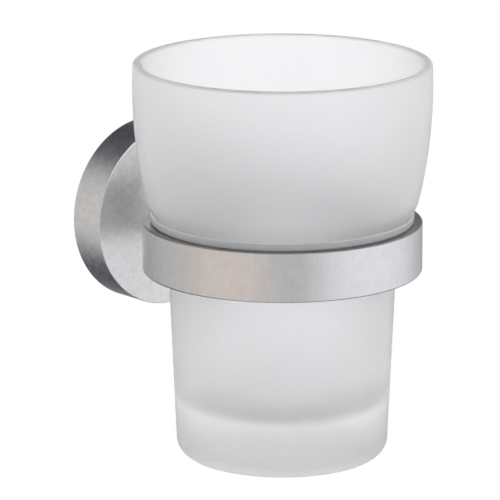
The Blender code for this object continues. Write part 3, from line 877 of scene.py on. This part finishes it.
def linerMesh(size, ring, tumbler):
    # Outside: a turned outline. Inside: radius(turn, height) is the larger of the sleeve's and the tumbler's
    # plus the gap, less a rib where the turn is within half a rib's width and the height is below its top.
    rows, columns = size["rows"], size["columns"]
    sleeve = ring["radius"] - ring["wall"] - gap
    inside = sleeve - size["wall"]
    lipFoot = ring["top"] + gap
    seatFoot, ribTop = ring["top"] - size["seatDepth"], size["foot"] + size["ribHeight"]
    fadeStart, fadeEnd = ribTop + size["ribFillet"], ribTop - size["ribFillet"]
    height = joined(*(np.column_stack([np.zeros(count), np.linspace(start, end, count)])
                      for start, end, count in ((size["top"], seatFoot, rows["seat"]),
                                                (seatFoot, fadeStart, rows["plain"]),
                                                (fadeStart, fadeEnd, rows["ribTop"]),
                                                (fadeEnd, size["foot"], rows["rib"]))))[:, 1]
    tumblerSide = tumblerOutside(tumbler) + (gap, tumbler["foot"])
    tumblerRadius = np.interp(height, tumblerSide[:, 1], tumblerSide[:, 0])
    innerRadius = np.maximum(inside, tumblerRadius)
    ribRadius = np.maximum(size["ribRadius"], tumblerRadius)
    outside = rounded([(inside, size["foot"]), (sleeve, size["foot"]), (sleeve, lipFoot),
                       (size["lipRadius"], lipFoot), (size["lipRadius"], size["top"]),
                       (innerRadius[0], size["top"])],
                      [0, size["lead"], 0, size["edge"] / 2, size["edge"], 0])
    half, fillet = size["ribWidth"] / 2 / inside, size["ribFillet"] / inside  # as angles
    sector = math.pi / size["ribCount"]
    flank = np.linspace(half - fillet, half + fillet, columns["flank"])
    between = np.linspace(half + fillet, sector, columns["halfBetween"])[1:]
    side = np.concatenate([flank, between])
    crest = np.linspace(-flank[0], flank[0], columns["crest"])[1:-1]
    offsets = np.concatenate([-side[::-1][1:], crest, side])
    turn = (np.arange(size["ribCount"])[:, None] * 2 * sector + offsets).ravel()
    acrossRib = np.tile(smoothStep((half + fillet - np.abs(offsets)) / (2 * fillet)), size["ribCount"])
    upRib = smoothStep((fadeStart - height) / (2 * size["ribFillet"]))
    ribbed = innerRadius[:, None] - (innerRadius - ribRadius)[:, None] * acrossRib * upRib[:, None]
    radius = np.vstack([np.repeat(outside[:-1, :1], len(turn), 1), ribbed[:-1]])
    levels = np.concatenate([outside[:-1, 1], height[:-1]])
    points, faces = turnedSurface(radius, levels, turn)
    return makeMesh("liner", points + (0, ringCentre[1], 0), faces)


finishPiece("lipped_liner", linerMesh(linerSizes, ringSizes, tumblerSizes), linerFinish, "holder",
            "ring_liner", sharpAngle=50)


# Cover plate: a turned cup with a recess for the post and holes for pin, screw and set screw

plateSizes = {
    "radius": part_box("cover_plate")[1].x,
    "depth": -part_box("cover_plate")[0].y,
    "face": 2.5 * mm,
    "rim": 3 * mm,
    "edge": 0.2 * mm,
    "backEdge": 0.25 * mm,
    "lead": 0.4 * mm,
    "recess": 0.8 * mm,
    "facets": 288,
}
pinSizes = {
    "radius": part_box("locating_pin")[1].x,
    "above": (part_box("locating_pin")[0].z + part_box("locating_pin")[1].z) / 2,
    "front": -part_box("locating_pin")[0].y,
}
setScrewSizes = {
    "radius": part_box("set_screw")[1].x,
    "out": -(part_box("set_screw")[0].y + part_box("set_screw")[1].y) / 2,
}
postSizes = {
    "radius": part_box("post")[1].x,
    "foot": -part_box("post")[1].y,
    "edge": 0.2 * mm,
    "facets": 144,
    "rows": {"side": 24, "end": 8},
}


def boreMesh(radius, start, end, place, onWall):
    # A plain cylinder that cuts a hole with the gap round what it takes.
    outline = np.array([(0, start), (radius + gap, start), (radius + gap, end), (0, end)])
    return turnedMesh("bore", outline, holeFacets, place, onWall)


def pinHole(pin, start, end):
    return boreMesh(pin["radius"], start, end, (0, 0, pin["above"]), onWall=True)


def plateMesh(size, screw, pin, setScrew, post):
    # The section of a cup, with the post's recess and the screw's hole in its face, turned round the wall's
    # axis, less a hole through the face for the pin and one up through the rim for the set screw.
    inside, bore = size["depth"] - size["face"], size["radius"] - size["rim"]
    shank, seat = screw["radius"] + gap, post["radius"] + gap
    recess = size["depth"] - size["recess"]
    corners = [(bore, gap), (size["radius"], gap), (size["radius"], size["depth"]), (seat, size["depth"]),
               (seat, recess), (shank, recess), (shank, inside), (bore, inside)]
    small = size["backEdge"] / 2
    radii = [size["lead"], size["backEdge"], size["edge"], small, small, small, small, size["lead"]]
    plate = turnedMesh("plate", rounded(corners, radii), size["facets"], (0, 0, 0), onWall=True)
    setHole = boreMesh(setScrew["radius"], -size["radius"] - overrun, -bore + overrun,
                       (0, -setScrew["out"], 0), onWall=False)
    return cutAway(plate, setHole, pinHole(pin, inside - overrun, recess + overrun))


finishPiece("satin_plate", plateMesh(plateSizes, screwSizes, pinSizes, setScrewSizes, postSizes), plateFinish,
            "holder", "cover_plate")


# Post: a bored bar whose far end is cut to the ring's curve

def postMesh(size, ring, screw, pin):
    # The far end stands out from the wall by ringOut - sqrt(R * R - x * x), where R is the ring's radius
    # plus the gap. The rows go out over the foot, up the side, in over the far end and down the bore.
    turn = evenTurn(size["facets"])
    bore, edge = screw["radius"] + gap, size["edge"]
    saddle = ring["radius"] + gap

    def farEnd(radius):
        return ringOut - np.sqrt(saddle ** 2 - (radius * np.cos(turn)) ** 2)

    footRadii = np.array([bore, bore + edge, size["radius"] - 2 * edge, size["radius"] - edge])
    endRadii = np.linspace(size["radius"], bore, size["rows"]["end"])
    side = np.linspace(0, 1, size["rows"]["side"])[:, None]
    lowSide = size["foot"] + edge
    height = np.vstack([
        np.full((len(footRadii), len(turn)), size["foot"]),
        lowSide + (farEnd(size["radius"]) - lowSide) * side[:-1],
        np.array([farEnd(radius) for radius in endRadii]),
        lowSide + (farEnd(bore) - lowSide) * (1 - side[1:-1]),
    ])
    radius = np.concatenate([footRadii, np.full(len(side) - 1, size["radius"]), endRadii,
                             np.full(len(side) - 2, bore)])
    points, faces = turnedSurface(radius, height, turn)
    return cutAway(makeMesh("post", wallWards(points), faces),
                   pinHole(pin, size["foot"] - overrun, pin["front"] + gap))


finishPiece("saddled_post", postMesh(postSizes, ringSizes, screwSizes, pinSizes), plateFinish, "holder",
            "post", sharpAngle=30)


# Wall bracket: a cast dish with a groove round it and two slots

bracketSizes = {
    "radius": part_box("wall_bracket")[1].x,
    "depth": -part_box("wall_bracket")[0].y,
    "web": 1.4 * mm,
    "rim": 3.5 * mm,
    "edge": 0.4 * mm,
    "fillet": 0.8 * mm,
    "grooveDepth": 0.8 * mm,
    "grooveFloor": 1.6 * mm,
    "backShares": (1 / 3, 0.9),  # rings of points on the flat back, as shares of the radius
    "slotSpacing": 23 * mm,
    "slotWidth": 4.6 * mm,
    "slotLength": 8.4 * mm,
    "slotFacets": 48,
    "facets": 240,
}


def slotMesh(size, side):
    # A loop of half circle, straight, half circle and straight, carried out from the wall.
    turn = evenTurn(size["slotFacets"])
    across = side * size["slotSpacing"] / 2 + size["slotWidth"] / 2 * np.cos(turn)
    reach = (size["slotLength"] - size["slotWidth"]) / 2
    up = size["slotWidth"] / 2 * np.sin(turn) + np.where(np.sin(turn) >= 0, reach, -reach)
    return prismMesh("slot", np.column_stack([across, up]), -overrun, size["web"] + overrun)


def bracketMesh(size, setScrew):
    # The section of a dish, with a groove in its side whose flanks rise at 45 degrees to each side of the set
    # screw, turned round the wall's axis, less the two slots.
    inner = size["radius"] - size["rim"]
    floor, mouth = size["grooveFloor"] / 2, size["grooveFloor"] / 2 + size["grooveDepth"]
    deep, out = size["radius"] - size["grooveDepth"], setScrew["out"]
    edge, small = size["edge"], size["edge"] / 4
    corners = [(size["radius"], 0), (size["radius"], out - mouth), (deep, out - floor), (deep, out + floor),
               (size["radius"], out + mouth), (size["radius"], size["depth"]), (inner, size["depth"]),
               (inner, size["web"])]
    outline = rounded(corners, [edge, small, small, small, small, edge / 2, edge, size["fillet"]])
    back = [(share * size["radius"], 0) for share in size["backShares"]]
    dish = joined((0, 0), back, outline, (inner / 2, size["web"]), (0, size["web"]))
    cutters = [slotMesh(size, side) for side in (-1, 1)]
    return cutAway(turnedMesh("bracket", dish, size["facets"], (0, 0, 0), onWall=True), *cutters)


finishPiece("cast_bracket", bracketMesh(bracketSizes, setScrewSizes), zincFinish, "holder", "wall_bracket")


# Small fixings keep the frame's own shapes

for name in ("set_screw", "hex_nut", "lock_washer", "locating_pin"):
    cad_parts[name].data.materials.clear()
    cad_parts[name].data.materials.append(steelFinish)
print("fixings finished")
